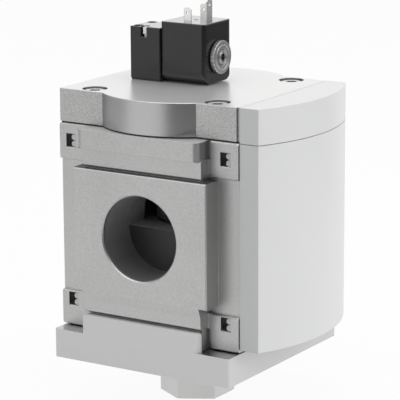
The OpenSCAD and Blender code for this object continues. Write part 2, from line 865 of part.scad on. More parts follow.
module piston() {
    z1 = piston_z + piston_t;
    groove = piston_z + seal_groove_z;
    ring = spring_wire + 1;
    color([0.72, 0.72, 0.74]) difference() {
        disc(cylinder_r - rest_gap, piston_z, z1, stem_thread_r);
        disc(cylinder_r + e, groove, groove + seal_groove_h, cylinder_r - piston_seal);
        disc(spring_r + ring, z1 - spring_seat, z1 + e, spring_r - ring);
        disc(cylinder_r + e, piston_z - e, piston_z + piston_foot_h, cylinder_r - piston_foot_in);
    }
}

module piston_lip_seal() {
    z = piston_z + seal_groove_z;
    out = cylinder_r - run_fit;
    color([0.1, 0.1, 0.1]) difference() {
        disc(out, z, z + seal_groove_h, cylinder_r - piston_seal);
        disc(out - seal_lip, z - e, z + seal_groove_h / 2, out - 2 * seal_lip);
    }
}

module valve_stem() {
    z0 = exhaust_foot_z - stem_nut_t - 1;
    z1 = piston_z + piston_t;
    color([0.8, 0.8, 0.82]) {
        disc(stem_r, exhaust_top_z + 1, piston_z);
        disc(stem_thread_r, z0, z1);
    }
}

module main_poppet() {
    z1 = poppet_z + poppet_t;
    color([0.75, 0.72, 0.6]) difference() {
        union() {
            disc(poppet_r, poppet_z, z1);
            disc(stem_r + poppet_hub, poppet_z, z1 + poppet_hub);
            disc(poppet_pilot_r, poppet_seal_z - poppet_pilot_h, poppet_z + e);
        }
        disc(stem_r + run_fit, poppet_seal_z - poppet_pilot_h - e, z1 + poppet_hub + e);
    }
}

module main_poppet_seal() {
    color([0.1, 0.1, 0.1]) disc(poppet_r - 0.5, poppet_seal_z, poppet_z, poppet_pilot_r + run_fit);
}

module exhaust_seat() {
    color([0.8, 0.65, 0.35]) disc(exhaust_chamber_r + seat_ledge, exhaust_seat_z, z_base_top, exhaust_seat_r);
}

module exhaust_poppet_seal() {
    color([0.1, 0.1, 0.1]) disc(exhaust_plate_r, exhaust_top_z - seal_t, exhaust_top_z, exhaust_hub_r);
}

module exhaust_poppet() {
    color([0.75, 0.72, 0.6]) difference() {
        union() {
            disc(exhaust_plate_r, exhaust_foot_z, exhaust_top_z - seal_t);
            disc(exhaust_hub_r, exhaust_foot_z, exhaust_top_z + 1);
        }
        disc(stem_thread_r, exhaust_foot_z - e, exhaust_top_z + 1 + e);
    }
}

module stem_nut() {
    color([0.62, 0.62, 0.62]) translate([0, 0, exhaust_foot_z - stem_nut_t]) difference() {
        cylinder(r = stem_nut_af / 2 / cos(30), h = stem_nut_t, $fn = 6);
        translate([0, 0, -e]) cylinder(r = stem_thread_r, h = stem_nut_t + 2 * e, $fn = fine);
    }
}

module return_spring() {
    z = piston_z + piston_t - spring_seat + spring_slack;
    color([0.55, 0.56, 0.58]) translate([0, 0, z])
        coil_spring(spring_r, spring_wire, spring_l + spring_seat - 2 * spring_slack, spring_turns, 20, 8);
}

// Round holes at the places of the two pilot valve screws
module pilot_bores(r, z0, z1) {
    at_pilot_screws() translate([0, 0, z0]) cylinder(r = r, h = z1 - z0, $fn = small);
}

module at_pilot_screws() {
    for (x = [pilot_inset, pilot_w - pilot_inset])
        translate([pilot_x + x, pilot_y + pilot_l - pilot_inset, 0]) children();
}

module pilot_body() {
    top = z_top + pilot_h;
    foot = z_top + pilot_gasket_t;
    slot_z = top - override_h;
    right = pilot_x + pilot_w;
    cross = z_top + channel_r + 6;
    color([0.2, 0.2, 0.21]) difference() {
        round_block([pilot_x, pilot_y, foot], [right, pilot_y + pilot_l, top], soft_edge, soft_edge);
        pilot_bores(pilot_screw_r + run_fit, z_top, top + e);
        pilot_bores(pilot_head_r + rest_gap, top - pilot_sink, top + e);
        // Seat of the armature tube and its orifice
        translate([coil_x, 0, tube_z]) {
            rod_y(tube_r + run_fit, pilot_y - e, pilot_y + tube_seat, small);
            rod_y(orifice_r, pilot_y, channel_y, small);
        }
        // Air way down to the top cover
        translate([coil_x, channel_y, cross - channel_r])
            cylinder(r = channel_r, h = tube_z - cross + channel_r + orifice_r, $fn = small);
        translate([0, channel_y, cross]) rod_x(channel_r - 0.3, channel_x, coil_x, small);
        pilot_channel();
        // Slot and guide hole of the manual override
        translate([pilot_x, override_y, 0]) {
            block([-e, -override_w / 2, slot_z], [override_x, override_w / 2, top + e]);
            translate([override_x, 0, slot_z]) cylinder(r = override_w / 2, h = override_h + e, $fn = small);
            translate([override_x, 0, slot_z - override_well])
                cylinder(r = override_pin_r + run_fit, h = override_well + e, $fn = small);
        }
    }
}

module pilot_gasket() {
    c = pilot_gasket_in;
    z1 = z_top + pilot_gasket_t;
    color([0.1, 0.1, 0.1]) difference() {
        block([pilot_x + c, pilot_y + c, z_top], [pilot_x + pilot_w - c, pilot_y + pilot_l - c, z1]);
        pilot_bores(pilot_screw_r + run_fit, z_top - e, z1 + e);
        pilot_channel();
    }
}

module pilot_screws() {
    seat = z_top + pilot_h - pilot_sink;
    tip = z_top - pilot_screw_l;
    color([0.62, 0.62, 0.62]) at_pilot_screws() difference() {
        union() {
            translate([0, 0, seat]) cylinder(r = pilot_head_r, h = pilot_head_h, $fn = small);
            translate([0, 0, tip]) cylinder(r = pilot_screw_r, h = seat - tip + e, $fn = small);
        }
        translate([0, 0, seat + pilot_head_h / 2])
            cylinder(r = pilot_head_r / 2, h = pilot_head_h, $fn = 6);
    }
}

// Steel tube with its fixed core, screwed into the pilot valve body
module armature_tube() {
    color([0.75, 0.75, 0.76]) translate([coil_x, 0, tube_z]) difference() {
        rod_y(tube_r, tube_end, pilot_y + tube_seat, small);
        rod_y(tube_in_r, core_face, pilot_y + tube_seat + e, small);
        rod_y(armature_bore, core_face - armature_spring_l / 2, core_face + e, small);
        rod_y(tube_socket_r, tube_end - e, tube_end + tube_socket_d, 6);
        translate([0, tube_end, 0]) rotate([-90, 0, 0]) rotate_extrude($fn = small)
            polygon(concat([[ring_r, -e]], turned_groove(ring_r)));
    }
}

module armature() {
    spring_bore = armature_spring_l - armature_spring_out;
    color([0.7, 0.7, 0.72]) translate([coil_x, 0, tube_z]) difference() {
        union() {
            rod_y(tube_in_r - run_fit, armature_face, armature_end, small);
            rod_y(armature_tip_r, armature_end - e, pilot_y + tube_seat - rest_gap, small);
        }
        rod_y(armature_bore, armature_face - e, armature_face + spring_bore, small);
    }
}

module armature_spring() {
    color([0.6, 0.6, 0.62]) translate([coil_x, armature_face - armature_spring_out, tube_z])
        rotate([-90, 0, 0])
            coil_spring(armature_bore - armature_wire, armature_wire, armature_spring_l - run_fit, 5, 12, 6);
}

// Moulded coil, rounded along its lower edges, with the tube bore and blade slots
module solenoid_coil() {
    x1 = pilot_x + coil_w;
    z1 = coil_z + coil_h;
    r = coil_foot_r;
    color([0.19, 0.19, 0.2]) difference() {
        intersection() {
            along_y(coil_front, coil_back) union() {
                translate([pilot_x + r, coil_z]) square([coil_w - 2 * r, coil_h]);
                translate([pilot_x, coil_z + r]) square([coil_w, coil_h - r]);
                for (x = [pilot_x + r, x1 - r]) translate([x, coil_z + r]) circle(r = r, $fn = fine);
            }
            round_block([pilot_x, coil_front, coil_z], [x1, coil_back, z1], coil_top_edge, coil_edge_r);
        }
        translate([coil_x, 0, tube_z]) rod_y(tube_r + run_fit, coil_front - e, pilot_y + e, small);
        blades_at() blade_slot(blade_w);
        earth_at() blade_slot(earth_w);
        translate([coil_x, blade_y, z1 - plug_hole_d])
            cylinder(r = plug_hole_r, h = plug_hole_d + e, $fn = small);
    }
}

module blades_at() {
    for (s = [-1, 1]) translate([coil_x + s * blade_pitch / 2, blade_y, coil_z + coil_h])
        rotate([0, 0, 90]) children();
}

module earth_at() {
    translate([coil_x, blade_y - earth_y, coil_z + coil_h]) children();
}

module blade_slot(w) {
    block([-w / 2, -blade_t / 2, -blade_root], [w / 2, blade_t / 2, e]);
}

// Contact blade with a tapered tip and a small hole
module blade(w, h, hole_z) {
    x = w / 2;
    t = blade_tip;
    difference() {
        translate([0, blade_t / 2, 0]) rotate([90, 0, 0]) linear_extrude(blade_t) polygon([
            [-x, -blade_root], [x, -blade_root], [x, h - t], [x - t, h], [t - x, h], [-x, h - t]
        ]);
        translate([0, 0, hole_z]) rod_y(blade_t, -2, 2, small);
    }
}

module power_blades() {
    color([0.85, 0.85, 0.83]) blades_at() blade(blade_w, blade_h, blade_h * 0.6);
}

module earth_blade() {
    color([0.85, 0.85, 0.83]) earth_at() blade(earth_w, earth_h, earth_h - 3);
}

module coil_washer() {
    color([0.1, 0.1, 0.1]) translate([coil_x, 0, tube_z]) difference() {
        rod_y(nut_r - 2, coil_front - coil_washer_t, coil_front, small);
        rod_y(tube_r + run_fit, coil_front - 2, coil_front + e, small);
    }
}

// Points of a groove turned into a face, at the radius r
function turned_groove(r) = [[r - groove_t, 0], [r, groove_t], [r + groove_t, 0]];

// Round nut with grip notches and turned grooves
module coil_nut() {
    t = groove_t;
    color([0.8, 0.8, 0.79]) translate([coil_x, coil_front - coil_washer_t - nut_t, tube_z])
        rotate([-90, 0, 0]) difference() {
            rotate_extrude($fn = fine) polygon(concat(
                [[tube_r, 2 * t], [tube_r + 2 * t, 0]], turned_groove(nut_r - 2.7),
                [[nut_r - t, 0], [nut_r, t], [nut_r, nut_t - t], [nut_r - t, nut_t], [tube_r, nut_t]]
            ));
            for (a = [0 : 15 : 345]) rotate([0, 0, a]) translate([nut_r + 0.5, 0, -e])
                cylinder(r = 0.8, h = nut_t + 2 * e, $fn = 16);
        }
}

module manual_override() {
    top = z_top + pilot_h - override_drop;
    foot = z_top + pilot_h - override_h + override_travel + rest_gap;
    y = override_tongue_w / 2;
    color([0.9, 0.9, 0.9]) translate([pilot_x, override_y, 0]) {
        block([override_set, -y, foot], [override_x, y, top]);
        translate([override_x, 0, foot]) cylinder(r = y, h = top - foot, $fn = small);
        translate([override_x, 0, foot - override_pin_l])
            cylinder(r = override_pin_r, h = override_pin_l + e, $fn = small);
    }
}

// Turning part of the throttle, with a hexagon socket
module throttle_screw() {
    head_z = z_top - throttle_sink - throttle_head_t;
    color([0.8, 0.7, 0.4]) translate([throttle_x, throttle_y, 0]) difference() {
        union() {
            translate([0, 0, head_z]) cylinder(r = throttle_r, h = throttle_head_t, $fn = small);
            translate([0, 0, needle_top_z])
                cylinder(r = throttle_neck_r, h = head_z - needle_top_z + e, $fn = small);
        }
        translate([0, 0, z_top - throttle_sink - throttle_socket_d])
            cylinder(r = throttle_af / 2 / cos(30), h = throttle_socket_d + e, $fn = 6);
        translate([0, 0, needle_top_z - e]) cylinder(r = spigot_r, h = spigot_l + e, $fn = small);
    }
}

// Needle whose spigot is pressed into the foot of the throttle screw
module throttle_needle() {
    h = needle_top_z - needle_low_z;
    color([0.8, 0.7, 0.4]) translate([throttle_x, throttle_y, needle_low_z]) rotate_extrude($fn = small)
        polygon([
            [0, 0], [needle_tip_r, 0], [needle_r, needle_cone], [needle_r, h],
            [spigot_r, h], [spigot_r, h + spigot_l], [0, h + spigot_l]
        ]);
}

main_body();
clamp_tongues();
base_cover();
base_gasket();
base_screws();
top_cover();
cover_gasket();
cover_screws();
front_cover_lower();
front_cover_upper();
main_seat();
cylinder_cup();
cup_seal();
stem_seal();
piston();
piston_lip_seal();
valve_stem();
main_poppet();
main_poppet_seal();
exhaust_seat();
exhaust_poppet();
exhaust_poppet_seal();
stem_nut();
return_spring();
pilot_body();
pilot_gasket();
pilot_screws();
armature_tube();
armature();
armature_spring();
solenoid_coil();
coil_washer();
coil_nut();
power_blades();
earth_blade();
manual_override();
throttle_screw();
throttle_needle();
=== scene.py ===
# Soft start valve for a compressed air service line, dressed round its packed construction.
import math

import bmesh
import bpy
from mathutils import Matrix, Vector


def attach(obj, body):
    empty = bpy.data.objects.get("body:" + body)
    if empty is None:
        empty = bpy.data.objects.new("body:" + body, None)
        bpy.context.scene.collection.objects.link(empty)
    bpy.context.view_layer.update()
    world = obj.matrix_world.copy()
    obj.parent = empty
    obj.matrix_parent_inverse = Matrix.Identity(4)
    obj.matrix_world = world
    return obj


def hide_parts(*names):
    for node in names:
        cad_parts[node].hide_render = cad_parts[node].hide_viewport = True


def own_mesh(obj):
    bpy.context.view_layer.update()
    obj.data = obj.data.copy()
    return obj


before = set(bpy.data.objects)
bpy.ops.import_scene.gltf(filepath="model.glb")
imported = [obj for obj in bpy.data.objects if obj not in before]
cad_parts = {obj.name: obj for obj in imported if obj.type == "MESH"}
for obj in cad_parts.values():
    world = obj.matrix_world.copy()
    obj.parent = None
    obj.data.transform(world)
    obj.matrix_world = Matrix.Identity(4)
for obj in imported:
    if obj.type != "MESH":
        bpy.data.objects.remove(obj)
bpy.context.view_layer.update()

# The photograph's viewpoint: a long lens from the front left, a little above the valve.
# It stands at the inlet side, so the port face and the plastic front both show.


def put_in_scene(name, data):
    """A new object in the scene."""
    thing = bpy.data.objects.new(name, data)
    bpy.context.scene.collection.objects.link(thing)
    return thing


camera_place = Vector((-1.0997, -0.6996, 0.4218))
camera_turn = math.radians(-57.63)
camera_dip = math.radians(13.15)
camera_roll = math.radians(-0.3)
camera = put_in_scene("camera", bpy.data.cameras.new("camera"))
camera.data.sensor_width = 36
camera.data.lens = 202.96
camera.data.clip_start = 0.01
camera.matrix_world = (
    Matrix.Translation(camera_place)
    @ Matrix.Rotation(camera_turn, 4, "Z")
    @ Matrix.Rotation(math.pi / 2 - camera_dip, 4, "X")
    @ Matrix.Rotation(camera_roll, 4, "Z")
)
bpy.context.scene.camera = camera
bpy.context.scene.view_settings.view_transform = "Standard"

# The studio: a white floor and a white surround. Camera and reflections see them at full
# white, and the rest of the light comes from two soft boxes, above and in front.


def feed(tree, socket, value):
    """Gives an input its number or colour, or links it to the output that feeds it."""
    if isinstance(value, bpy.types.NodeSocket):
        tree.links.new(value, socket)
    elif value is not None:
        socket.default_value = value


def add_node(tree, kind, values=(), mode=None, **inputs):
    """A shader node, with its first inputs in order and others by name."""
    node = tree.nodes.new("ShaderNode" + kind)
    if mode:
        setattr(node, "data_type" if kind == "Mix" else "operation", mode)
    for place, value in enumerate(values):
        feed(tree, node.inputs[place], value)
    for label, value in inputs.items():
        feed(tree, node.inputs[label.replace("_", " ")], value)
    return node


def math_node(tree, way, *values):
    """The result of one sum on numbers or outputs."""
    return add_node(tree, "Math", values, way).outputs[0]


def map_range(tree, value, start, full, low=0.0, high=1.0):
    """A value that runs from low to high while another runs from start to full."""
    node = add_node(tree, "MapRange", (value, start, full, low, high))
    return node.outputs["Result"]


def background_rays(tree):
    """1 for the rays that show the background: camera, glossy and transmission rays."""
    rays = add_node(tree, "LightPath").outputs
    direct = math_node(tree, "MAXIMUM", rays["Is Camera Ray"], rays["Is Glossy Ray"])
    return math_node(tree, "MAXIMUM", direct, rays["Is Transmission Ray"])


surround_level = 0.55
world = bpy.data.worlds.new("surround")
bpy.context.scene.world = world
world.use_nodes = True
world_tree = world.node_tree
sky = world_tree.nodes["Background"]
sky.inputs["Color"].default_value = (1, 1, 1, 1)
sky_strength = map_range(world_tree, background_rays(world_tree), 0.0, 1.0, surround_level)
feed(world_tree, sky.inputs["Strength"], sky_strength)


def flat_mesh(name, corners):
    """A strip of faces for the stage. Its corners run along one edge and back along the other."""
    mesh = bpy.data.meshes.new(name)
    half = len(corners) // 2
    faces = [(i, i + 1, 2 * half - i - 2, 2 * half - i - 1) for i in range(half - 1)]
    mesh.from_pydata(corners, [], faces)
    thing = put_in_scene(name, mesh)
    return thing


def paint(name, colour, rough=0.6):
    """A plain matt paint for the stage."""
    material = bpy.data.materials.new(name)
    material.use_nodes = True
    shader = material.node_tree.nodes["Principled BSDF"]
    shader.inputs["Base Color"].default_value = (*colour, 1)
    shader.inputs["Roughness"].default_value = rough
    return material


floor_reach = 4.0
floor_shadow = 0.07
floor_corners = ((-1, -1), (1, -1), (1, 1), (-1, 1))
floor = flat_mesh("floor", [(x * floor_reach, y * floor_reach, 0) for x, y in floor_corners])
floor_paint = paint("floor paint", (0.93, 0.93, 0.93))
floor.data.materials.append(floor_paint)
floor_tree = floor_paint.node_tree
matt = floor_tree.nodes["Principled BSDF"].outputs[0]
glow = add_node(floor_tree, "Emission", Color=(1, 1, 1, 1), Strength=1.0).outputs[0]
glow_share = math_node(floor_tree, "MULTIPLY", background_rays(floor_tree), 1 - floor_shadow)
mixed = add_node(floor_tree, "MixShader", (glow_share, matt, glow)).outputs[0]
feed(floor_tree, floor_tree.nodes["Material Output"].inputs["Surface"], mixed)


def card(name, tone, start, end, reach, height):
    """A curved board that only reflections see, from one bearing to another in degrees."""
    steps = 24
    off_floor = 0.001
    bearings = [math.radians(start + (end - start) * i / steps) for i in range(steps + 1)]
    low = [(reach * math.cos(b), reach * math.sin(b), off_floor) for b in bearings]
    high = [(x, y, height) for x, y, z in reversed(low)]
    board = flat_mesh(name, low + high)
    board.data.materials.append(paint(name + " paint", (tone, tone, tone), rough=0.9))
    for kind in ("camera", "diffuse", "transmission", "volume_scatter", "shadow"):
        setattr(board, "visible_" + kind, False)


card("dark card", tone=0.04, start=186, end=336, reach=0.62, height=0.42)
card("grey card", tone=0.45, start=62, end=132, reach=0.8, height=0.42)
valve_middle = Vector((0, -0.01, 0.11))


def soft_box(name, place, size, watts):
    """A lamp behind a rectangle of cloth, aimed at the middle of the valve."""
    lamp = put_in_scene(name, bpy.data.lights.new(name, "AREA"))
    lamp.data.shape = "RECTANGLE"
    lamp.data.size, lamp.data.size_y = size
    lamp.data.energy = watts
    lamp.location = place
    lamp.rotation_mode = "QUATERNION"
    lamp.rotation_quaternion = (valve_middle - Vector(place)).to_track_quat("-Z", "Y")


soft_box("overhead box", place=(-0.1, 0.0, 1.5), size=(1.6, 1.6), watts=9)
soft_box("front box", place=(0.45, -1.5, 0.8), size=(0.9, 0.9), watts=6)

# The body is one aluminium die casting with a fine speckled skin, port pads and corner
# blocks. Its port bores carry painted light and shade: their walls are painted lighter, their
# lower half and end walls darker. The valve chambers are machined in it.


def new_group(name, inputs, outputs):
    """A shader group with named number inputs and named outputs."""
    group = bpy.data.node_groups.new(name, "ShaderNodeTree")
    for label, value in inputs.items():
        socket = group.interface.new_socket(label, in_out="INPUT", socket_type="NodeSocketFloat")
        socket.default_value = value
    for label, kind in outputs.items():
        group.interface.new_socket(label, in_out="OUTPUT", socket_type="NodeSocket" + kind)
    return group, group.nodes.new("NodeGroupInput").outputs, group.nodes.new("NodeGroupOutput").inputs


def edge_group():
    """Rounds sharp edges a little and marks them, for wear and for the light they catch."""
    inputs = {"Radius": 0.0004, "Reach": 0.2}
    group, given, result = new_group("edge catch", inputs, {"Normal": "Vector", "Mask": "Float"})
    bevel = add_node(group, "Bevel", Radius=given["Radius"])
    bevel.samples = 6
    rounded = bevel.outputs["Normal"]
    flat = add_node(group, "NewGeometry").outputs["Normal"]
    turn = add_node(group, "VectorMath", (rounded, flat), "DOT_PRODUCT").outputs["Value"]
    full = math_node(group, "SUBTRACT", 1.0, given["Reach"])
    feed(group, result["Normal"], rounded)
    feed(group, result["Mask"], map_range(group, turn, 1.0, full))
    return group


def speckle_group():
    """The grain of a casting or a moulding: a tone that varies from spot to spot, and its height."""
    inputs = {"Scale": 1500.0, "Contrast": 1.0}
    group, given, result = new_group("speckle", inputs, {"Tone": "Float", "Height": "Float"})
    cloud_scale, cloud_share, ground_tone = 28.0, 0.35, 0.32
    place = add_node(group, "TexCoord").outputs["Object"]
    grains = add_node(group, "TexNoise", Vector=place, Scale=given["Scale"], Detail=3.0, Roughness=0.65)
    clouds = add_node(group, "TexNoise", Vector=place, Scale=cloud_scale, Detail=2.0)
    fine, cloud = grains.outputs["Fac"], clouds.outputs["Fac"]
    strong = math_node(group, "MULTIPLY", math_node(group, "SUBTRACT", fine, 0.5), given["Contrast"])
    both = math_node(group, "MULTIPLY_ADD", cloud, cloud_share, strong)
    tone = add_node(group, "Math", (both, ground_tone), "ADD")
    tone.use_clamp = True
    feed(group, result["Tone"], tone.outputs[0])
    feed(group, result["Height"], fine)
    return group


edge_catch = edge_group()
speckle = speckle_group()


def mix(tree, factor, first, second):
    """The colour between two others. Each is a colour or the output that gives it."""
    node = add_node(tree, "Mix", mode="RGBA")
    for label, value in (("Factor", factor), ("A", first), ("B", second)):
        socket = next(s for s in node.inputs if s.name == label and s.enabled)
        plain_colour = label != "Factor" and not isinstance(value, bpy.types.NodeSocket)
        feed(tree, socket, (*value, 1) if plain_colour else value)
    return next(s for s in node.outputs if s.enabled)


def wear_and_edge_highlight(tree, edges, share, colour, tone):
    """Edges a quarter brighter than a tone, over a colour: rubbed wear and a painted highlight where
    edges catch the light.
    """
    rubbed_and_lit = math_node(tree, "MULTIPLY", edges.outputs["Mask"], share)
    return mix(tree, rubbed_and_lit, colour, [min(1, c * 1.25) for c in tone])


def skin(name, dark, light, grain, contrast, rough, metal=0.0, radius=0.0004, bump=0.1,
         edge=0.2, worn_and_lit_tone=None, patches=(), hollows=(), coat=None, **plain):
    """A speckled skin between two tones, with edges that catch the light.

    A patch is a function that gives a mask, then the colour, roughness and metal there. Worn edges
    cross the patches but not the hollows; they are brightened as wear and as a painted highlight.
    Where the coat's mask is 1, a clear coat lies on it."""
    material = bpy.data.materials.new(name)
    material.use_nodes = True
    tree = material.node_tree
    shader = tree.nodes["Principled BSDF"]
    for socket, value in plain.items():
        shader.inputs[socket.replace("_", " ")].default_value = value
    grains = add_node(tree, "Group")
    grains.node_tree = speckle
    grains.inputs["Scale"].default_value = grain
    grains.inputs["Contrast"].default_value = contrast
    edges = add_node(tree, "Group")
    edges.node_tree = edge_catch
    edges.inputs["Radius"].default_value = radius
    tone = grains.outputs["Tone"]
    colour = mix(tree, tone, dark, light)
    gloss_spread = 0.05
    gloss = map_range(tree, tone, 0.0, 1.0, rough + gloss_spread, rough - gloss_spread)
    metals = metal
    for place, (mask, patch_colour, patch_rough, patch_metal) in enumerate([*patches, *hollows]):
        if place == len(patches):
            colour = wear_and_edge_highlight(tree, edges, edge, colour, worn_and_lit_tone or light)
        where = mask(tree)
        colour = mix(tree, where, colour, patch_colour)
        gloss = map_range(tree, where, 0.0, 1.0, gloss, patch_rough)
        if patch_metal != metal:
            metals = map_range(tree, where, 0.0, 1.0, metals, patch_metal)
    if not hollows:
        colour = wear_and_edge_highlight(tree, edges, edge, colour, worn_and_lit_tone or light)
    grain_depth = 0.0002
    relief = add_node(tree, "Bump", Strength=bump, Distance=grain_depth,
                      Height=grains.outputs["Height"], Normal=edges.outputs["Normal"])
    feed(tree, shader.inputs["Base Color"], colour)
    feed(tree, shader.inputs["Roughness"], gloss)
    feed(tree, shader.inputs["Metallic"], metals)
    feed(tree, shader.inputs["Normal"], relief.outputs["Normal"])
    if coat:
        feed(tree, shader.inputs["Coat Weight"], coat(tree))
    return material


def give_finish(piece, material):
    """Gives a piece one finish all over."""
    piece.data.materials.clear()
    piece.data.materials.append(material)


def finish_node(material, *names):
    """Gives CAD pieces their finish."""
    for name in names:
        give_finish(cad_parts[name], material)


def place_parts(tree):
    """X, Y and Z of a place on the valve, and how far it is from the upright middle plane."""
    parts = add_node(tree, "SeparateXYZ", (add_node(tree, "TexCoord").outputs["Object"],)).outputs
    return parts, math_node(tree, "ABSOLUTE", parts["X"])


def from_axis(tree, across, up):
    """How far a place is from an axis, from how far it is across and up from it."""
    flat = add_node(tree, "CombineXYZ", (across, up, 0.0)).outputs[0]
    return add_node(tree, "VectorMath", (flat,), "LENGTH").outputs["Value"]


def looks_along(tree, axis, start, full, both_ways=False):
    """Faces that look along an axis, or along it either way."""
    normal = add_node(tree, "TexCoord").outputs["Normal"]
    share = add_node(tree, "SeparateXYZ", (normal,)).outputs[axis]
    if both_ways:
        share = math_node(tree, "ABSOLUTE", share)
    return map_range(tree, share, start, full)


port_height = 0.1065
port_radius = 0.025
port_mouth = 0.0611
bore_slack = 0.0003
mouth_fade = 0.002
shade_start = port_height + 0.008
shade_full = port_height - 0.016


def in_port(tree):
    """Inside the port bores: near their axis and behind their mouths."""
    parts, out = place_parts(tree)
    far = from_axis(tree, parts["Y"], math_node(tree, "SUBTRACT", parts["Z"], port_height))
    near = math_node(tree, "LESS_THAN", far, port_radius + bore_slack)
    deep = map_range(tree, out, port_mouth, port_mouth - mouth_fade)
    return math_node(tree, "MULTIPLY", near, deep)


def painted_shade_port_low(tree):
    """The lower part of each port bore, which is painted darker as painted shade."""
    low = map_range(tree, place_parts(tree)[0]["Z"], shade_start, shade_full)
    return math_node(tree, "MULTIPLY", in_port(tree), low)


def painted_shade_port_end(tree):
    """The half wall at the end of each port bore: it looks along X. It is painted near black as painted
    shade.
    """
    end = looks_along(tree, "X", start=0.8, full=0.95, both_ways=True)
    return math_node(tree, "MULTIPLY", in_port(tree), end)


def on_top(tree):
    """Faces that look up."""
    return looks_along(tree, "Z", start=0.8, full=0.95)


def up_at(tree, height, slack):
    """Faces that look up at one height."""
    above = math_node(tree, "SUBTRACT", place_parts(tree)[0]["Z"], height)
    near = math_node(tree, "LESS_THAN", math_node(tree, "ABSOLUTE", above), slack)
    return math_node(tree, "MULTIPLY", near, on_top(tree))


shoulder = 0.166


def painted_light_shoulder(tree):
    """The up-facing top of the body under the cover, which is painted lighter as painted light."""
    high = math_node(tree, "GREATER_THAN", place_parts(tree)[0]["Z"], shoulder)
    return math_node(tree, "MULTIPLY", on_top(tree), high)


pad_top = 0.1438


def painted_shade_pad_top(tree):
    """The upper edge of a port pad, in the groove under the sill, which is painted dark as painted
    shade.
    """
    return up_at(tree, pad_top, slack=0.0003)


def solid_mesh(name, prisms):
    """Solids in one mesh. Each is an outline in mm, its low and high end, and its axis."""
    build = bmesh.new()
    for outline, low, high, axis in prisms:
        ends = []
        for end in (low, high):
            corners = [(u, end, v) if axis == "Y" else (u, v, end) for u, v in outline]
            ends.append([build.verts.new(Vector(corner) / 1000) for corner in corners])
            build.faces.new(ends[-1])
        for i in range(len(outline)):
            j = (i + 1) % len(outline)
            build.faces.new((ends[0][i], ends[0][j], ends[1][j], ends[1][i]))
    bmesh.ops.recalc_face_normals(build, faces=build.faces)
    mesh = bpy.data.meshes.new(name)
    build.to_mesh(mesh)
    build.free()
    return mesh


weld_gap = 1e-6
sharp_turn = math.radians(16)


def reshape(name, node, steps):
    """A copy of a CAD piece that stands for it, with solids joined to it or cut off it."""
    weld = bmesh.new()
    weld.from_mesh(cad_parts[node].data)
    bmesh.ops.remove_doubles(weld, verts=weld.verts, dist=weld_gap)
    mesh = bpy.data.meshes.new(name)
    weld.to_mesh(mesh)
    weld.free()
    piece = put_in_scene(name, mesh)
    for way, prisms in steps:
        tool = put_in_scene(name + "_tool", solid_mesh(name + "_tool", prisms))
        change = piece.modifiers.new(way, "BOOLEAN")
        change.operation = way
        change.solver = "EXACT"
        change.object = tool
        shape = piece.evaluated_get(bpy.context.evaluated_depsgraph_get())
        changed = bpy.data.meshes.new_from_object(shape)
        piece.modifiers.clear()
        piece.data = changed
        bpy.data.objects.remove(tool)
    for label in ("custom_normal", "sharp_edge", "sharp_face"):
        if label in piece.data.attributes:
            piece.data.attributes.remove(piece.data.attributes[label])
    piece.data.shade_smooth()
    piece.data.set_sharp_from_angle(angle=sharp_turn)
    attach(piece, "housing")
    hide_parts(node)
    return piece


# Under the band and under the port pad the casting has upright sills, in the photograph, so
# these take the place of the CAD's slopes. The blocks' corners and upright edges are filled.
# All of it is cast in one with the body. Sizes here are in mm.
sides = (-1, 1)


def on_sides(outline, low, high, axis):
    """The same solid on the inlet and the outlet side."""
    return [([(side * u, v) for u, v in outline], low, high, axis) for side in sides]


def oblong(left, right, near, far):
    """The outline of a plain rectangle."""
    return [(left, near), (right, near), (right, far), (left, far)]


body_ends = (45.02, 166.58)
sill_end = 40.3
room_end = 41.5
sill_room = oblong(58.5, 63, 144.8, 155.55)
sill = [(50.5, 145.1), (58.1, 145.1), (58.53, 145.5), (58.53, 155.7), (50.5, 155.7)]
low_sill = [(50.5, 58), (59.4, 58), (59.8, 58.4), (60.05, 64.9), (62, 70.46), (62, 73), (50.5, 73)]
rooms = on_sides(sill_room, -room_end, room_end, "Y")
sills = on_sides(sill, -sill_end, sill_end, "Y") + on_sides(low_sill, -sill_end, sill_end, "Y")

# Lips bring the upright edges of the flanks and of the corner blocks out to sharp corners,
# close to the plastic in front and flush with the back behind.
lip_front, back_face = -60.2, 61.98
flank_lip = [(45.5, -56.5), (48.78, -56.3), (48.78, -60), (48.5, lip_front), (45.5, lip_front)]
rear_lip = oblong(45.5, 48.78, 59.6, back_face)
sills += on_sides(flank_lip, *body_ends, "Z") + on_sides(rear_lip, *body_ends, "Z")
block_ends = ((body_ends[0], 65.98), (145.32, body_ends[1]))
block_lips = [[(46, low), (50, low), (50.97, low + 1), (50.97, high - 1), (50, high), (46, high)]
              for low, high in block_ends]
lip_spans = ((lip_front, -57.5), (60.5, back_face))
fills = [solid for outline in block_lips for low, high in lip_spans
         for solid in on_sides(outline, low, high, "Y")]

# The band above the sill has a quarter round at each end, and reaches further at the back.
# The corners between the blocks and the sills are cast solid.
band_face = 62
band_round = 4
band_ends = {-1: 40, 1: 42.7}
cut_margin = 0.5
round_steps = 8
round_turns = [math.pi / 2 * (1 - i / round_steps) for i in range(round_steps + 1)]


def band_cut(end):
    """The corner that rounding takes off a square end of the band."""
    across, along = band_face - band_round, end - band_round
    arc = [(across + band_round * math.cos(turn), along + band_round * math.sin(turn))
           for turn in round_turns]
    past_face, past_end = band_face + cut_margin, end + cut_margin
    return [(past_face, past_end), (across, past_end), *arc, (past_face, along)]


